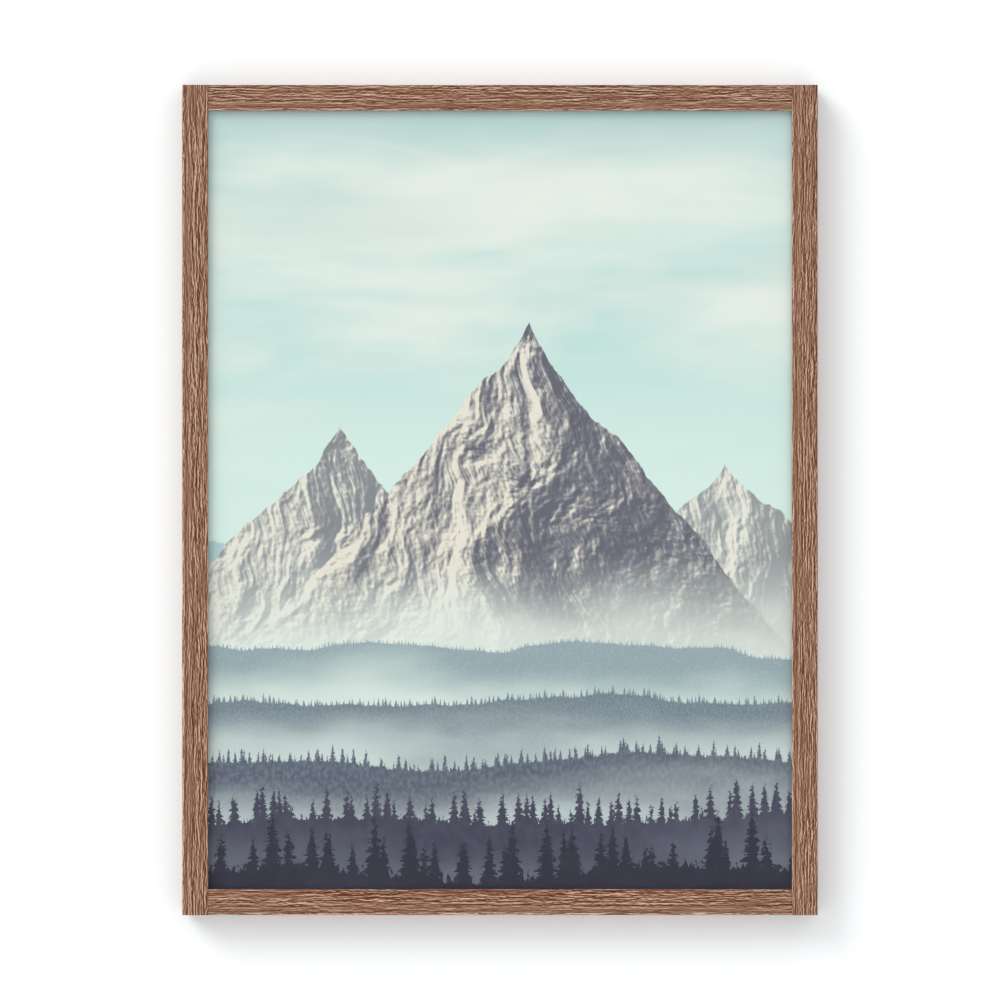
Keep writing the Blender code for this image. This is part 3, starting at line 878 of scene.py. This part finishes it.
def countersunk_screw(radius, length):
    """A screw along Z, with the top of its head at z = 0."""
    bm, rim = disc(SCREW_SHANK, radius, SCREW_HEAD)
    _, under = pull(bm, [min(bm.faces, key=face_height)], (0, 0, SCREW_HEAD + SCREW_POINT - length))
    pull(bm, under, (0, 0, -SCREW_POINT), POINTED)
    ease(bm, rim, SCREW_EASE)
    top = max(bm.faces, key=face_height)
    ring = list(top.edges)
    bmesh.ops.delete(bm, geom=[top], context="FACES_ONLY")
    arm, half = RECESS_ARM, RECESS_HALF
    quarter = [(half, half), (arm, half), (arm, -half)]
    points = []
    for turn in range(4):
        spun = Matrix.Rotation(math.radians(-90 * turn), 2)
        points += [(*(spun @ Vector(point)), 0) for point in quarter]
    cross = add_loop(bm, points)
    bmesh.ops.triangle_fill(bm, use_beauty=True, edges=ring + cross)
    pit = bm.faces.new([edge.verts[0] for edge in cross])
    pull(bm, [pit], (0, 0, -RECESS_DEPTH), RECESS_TAPER)
    bmesh.ops.recalc_face_normals(bm, faces=bm.faces)
    shade_smooth(bm)
    return bm


for corner in CORNERS:
    for number in range(1, 5):
        name = f"corner_screw_{corner}_{number}"
        low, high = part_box(name)
        centre = (low + high) / 2
        bm = countersunk_screw((high.x - low.x) / 2, high.y - low.y)
        turned = Matrix.Rotation(math.radians(37 * number + 61 * len(corner)), 4, "Z")
        place = facing_wall(centre.x, high.y, centre.z) @ turned
        bmesh.ops.transform(bm, matrix=place, verts=bm.verts)
        piece(f"driven_{name}", bm, (zinc,), name)

# Hanger: a sawtooth strip of 0.8 mm brass-plated steel. Its feet lie flat on the top rail, its middle
# stands up clear of the wood, and the notches along its lower edge catch the nail.
SAW_THICKNESS = 0.0008
SAW_FOOT = 0.0071
SAW_SLOPE = 0.0028  # length of the bend that lifts the strip off each foot
SAW_STEPS = 8
SAW_CORNER = 0.0012
SAW_EASE = 0.0001
NOTCH_COUNT = 7
NOTCH_STEP = 0.003
NOTCH_DEPTH = 0.0015
NOTCH_HALF = 0.00087

brassed = metal(
    "brass plating",
    ((0.42, 0.26, 0.09), (0.58, 0.39, 0.15), (0.68, 0.49, 0.22)),
    0.32,
    260,
)
low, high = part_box("hanger_plate")
rise_start = high.x - SAW_FOOT
bm = bmesh.new()
saw = [(low.x, low.z)]
for notch in range(NOTCH_COUNT):
    x = (notch - (NOTCH_COUNT - 1) / 2) * NOTCH_STEP
    saw += [(x - NOTCH_HALF, low.z), (x, low.z + NOTCH_DEPTH), (x + NOTCH_HALF, low.z)]
saw += [(high.x, low.z), (high.x, high.z), (low.x, high.z)]
corners = [bm.verts.new((x, 0, z)) for x, z in saw]
bm.faces.new(corners)
round_corners(bm, [corners[0]] + corners[-3:], SAW_CORNER, 5)
for step in range(SAW_STEPS + 1):
    for side in (-1, 1):
        everything = bm.verts[:] + bm.edges[:] + bm.faces[:]
        cut_x = side * (rise_start - step * SAW_SLOPE / SAW_STEPS)
        bmesh.ops.bisect_plane(
            bm, geom=everything, dist=TOUCHING, plane_co=(cut_x, 0, 0), plane_no=(1, 0, 0)
        )
foot_y = low.y
raised_y = high.y - SAW_THICKNESS
for vert in bm.verts:
    share = share_of(rise_start - abs(vert.co.x), SAW_SLOPE)
    vert.co.y = foot_y + (raised_y - foot_y) * share * share * (3 - 2 * share)
bmesh.ops.recalc_face_normals(bm, faces=bm.faces)
pull(bm, bm.faces[:], (0, SAW_THICKNESS, 0))
bmesh.ops.recalc_face_normals(bm, faces=bm.faces)
ease(bm, rim_edges(bm, 55), SAW_EASE)
shade_smooth(bm)
piece("pressed_hanger_plate", bm, (brassed,), "hanger_plate")

# Hanger nails: short brass-plated nails with flat heads, one through each foot of the hanger.
NAIL_HEAD = 0.0006
NAIL_SHANK = 0.0007
NAIL_POINT = 0.0015
NAIL_DOME = 0.00035
for side in ("left", "right"):
    name = f"hanger_nail_{side}"
    low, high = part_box(name)
    centre = (low + high) / 2
    radius = (high.x - low.x) / 2
    bm, rim = disc(radius, radius, NAIL_HEAD)
    under = min(bm.faces, key=face_height)
    bmesh.ops.inset_region(bm, faces=[under], thickness=radius - NAIL_SHANK)
    _, under = pull(bm, [under], (0, 0, NAIL_HEAD + NAIL_POINT - (high.y - low.y)))
    pull(bm, under, (0, 0, -NAIL_POINT), POINTED)
    ease(bm, rim, NAIL_DOME, 4)
    bmesh.ops.recalc_face_normals(bm, faces=bm.faces)
    shade_smooth(bm)
    bmesh.ops.transform(bm, matrix=facing_wall(centre.x, high.y, centre.z), verts=bm.verts)
    piece(f"driven_{name}", bm, (brassed,), name)

# Bumpers: small domed discs of grey rubber, stuck to the lower ends of the stiles. They keep the frame
# level off the wall, as far as the hanger does at the top.
BUMPER_DOME = 0.0016
BUMPER_FLAT = 0.0012
RUBBER_SPECKS = (3000, 3000, 3000)
RUBBER_BLOOM = (260, 260, 260)

start = new_finish("grey rubber")
_, r = start
place = r.coordinates()
specks = r.noise(r.stretch(place, *RUBBER_SPECKS), 3.0, 0.6)
bloom = r.noise(r.stretch(place, *RUBBER_BLOOM), 3.0)
colour = r.gradient(bloom, (0.35, 0.7), (seen(52, 53, 55), seen(84, 84, 86)))
rubber = finish(start, colour, 0.72, r.bump(specks, 0.00004, 0.6), Specular_IOR_Level=0.35)
for side in ("left", "right"):
    name = f"bumper_{side}"
    low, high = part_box(name)
    centre = (low + high) / 2
    thickness = high.y - low.y
    radius = (high.x - low.x) / 2
    bm, rim = disc(radius, radius, thickness, 48)
    ease(bm, rim, BUMPER_DOME, 8)
    bmesh.ops.inset_region(bm, faces=[max(bm.faces, key=face_height)], thickness=BUMPER_FLAT)
    bmesh.ops.recalc_face_normals(bm, faces=bm.faces)
    shade_smooth(bm)
    bmesh.ops.transform(bm, matrix=facing_wall(centre.x, high.y, centre.z), verts=bm.verts)
    piece(f"domed_{name}", bm, (rubber,), name)

# Studio: a white wall behind the frame, which isn't there for whoever looks from behind, and a pale floor.
# Neither darkens or tints the frame. A large soft light comes from the upper left, with even light all round
# and a weaker light for the back.
WALL_Y = 0.003
WALL_SIZE = (9, 7)
FLOOR_Z = BOTTOM - 0.55
FLOOR_SIZE = (60, 60)
CARD_SIZE = (2.6, 2.6)
CARD_Y = -5.0
STANDING = math.radians(90)
VIEW_WIDTH = 0.7707  # what the photograph's width spans at the frame's front


def studio_plane(name, size, place, turn, material):
    mesh = bpy.data.meshes.new(name)
    bm = bmesh.new()
    bmesh.ops.create_grid(bm, x_segments=1, y_segments=1, size=0.5)
    stand = Matrix.Translation(place) @ Matrix.Rotation(turn, 4, "X")
    bmesh.ops.transform(bm, matrix=stand @ Matrix.Diagonal((*size, 1, 1)), verts=bm.verts)
    bm.to_mesh(mesh)
    bm.free()
    mesh.materials.append(material)
    made = bpy.data.objects.new(name, mesh)
    bpy.context.scene.collection.objects.link(made)
    return made


def unseen_by(plane, *rays):
    for ray in rays:
        setattr(plane, f"visible_{ray}", False)


start = new_finish("white wall")
wall_paint, r = start
finish(start, (0.865, 0.888, 0.896, 1), 0.9, Specular_IOR_Level=0.0)
painted, surface = shader_of(wall_paint)
behind = r.add("NewGeometry", output="Backfacing")
r.feed(surface, r.add("MixShader", {0: behind, 1: painted, 2: r.add("BsdfTransparent")}))
wall = studio_plane("wall", WALL_SIZE, (0, WALL_Y, FLOOR_Z + WALL_SIZE[1] / 2), STANDING, wall_paint)
unseen_by(wall, "diffuse", "glossy", "transmission", "shadow")

start = new_finish("pale floor")
floor_paint, r = start
finish(start, (0.46, 0.46, 0.455, 1), 0.85)
floor = studio_plane("floor", FLOOR_SIZE, (0, 0, FLOOR_Z), 0.0, floor_paint)
unseen_by(floor, "diffuse", "shadow")

start = new_finish("black card")
card_paint, r = start
finish(start, (0.0, 0.0, 0.0, 1), 1.0, Specular_IOR_Level=0.0)
card = studio_plane("black_card", CARD_SIZE, (0, CARD_Y, MIDDLE), STANDING, card_paint)
unseen_by(card, "camera", "diffuse", "transmission", "shadow")

scene = bpy.context.scene
scene.view_settings.view_transform = "Standard"
world = bpy.data.worlds.new("studio")
world.use_nodes = True
world.node_tree.nodes["Background"].inputs["Color"].default_value = (1, 1, 1, 1)
world.node_tree.nodes["Background"].inputs["Strength"].default_value = 1.00
scene.world = world


def soft_light(name, strength, spread, left, up):
    """A distant light this many degrees wide, this many degrees left of and above the picture's axis."""
    lamp = bpy.data.lights.new(name, "SUN")
    lamp.energy = strength
    lamp.angle = math.radians(spread)
    made = bpy.data.objects.new(name, lamp)
    a, e = math.radians(-left), math.radians(up)
    source = Vector((math.sin(a) * math.cos(e), -math.cos(a) * math.cos(e), math.sin(e)))
    made.rotation_mode = "QUATERNION"
    made.rotation_quaternion = source.to_track_quat("Z", "Y")
    scene.collection.objects.link(made)
    return made


key = soft_light("window", 1.69, 34, 54, 40)
key.visible_glossy = False
soft_light("back_light", 1.3, 50, 150, 35)

camera_data = bpy.data.cameras.new("camera")
camera_data.lens = 150
distance = VIEW_WIDTH * camera_data.lens / camera_data.sensor_width
camera = bpy.data.objects.new("camera", camera_data)
camera.location = (0, FRONT - distance, MIDDLE)
camera.rotation_euler = (STANDING, 0, 0)
camera_data.clip_end = 50
scene.collection.objects.link(camera)
scene.camera = camera
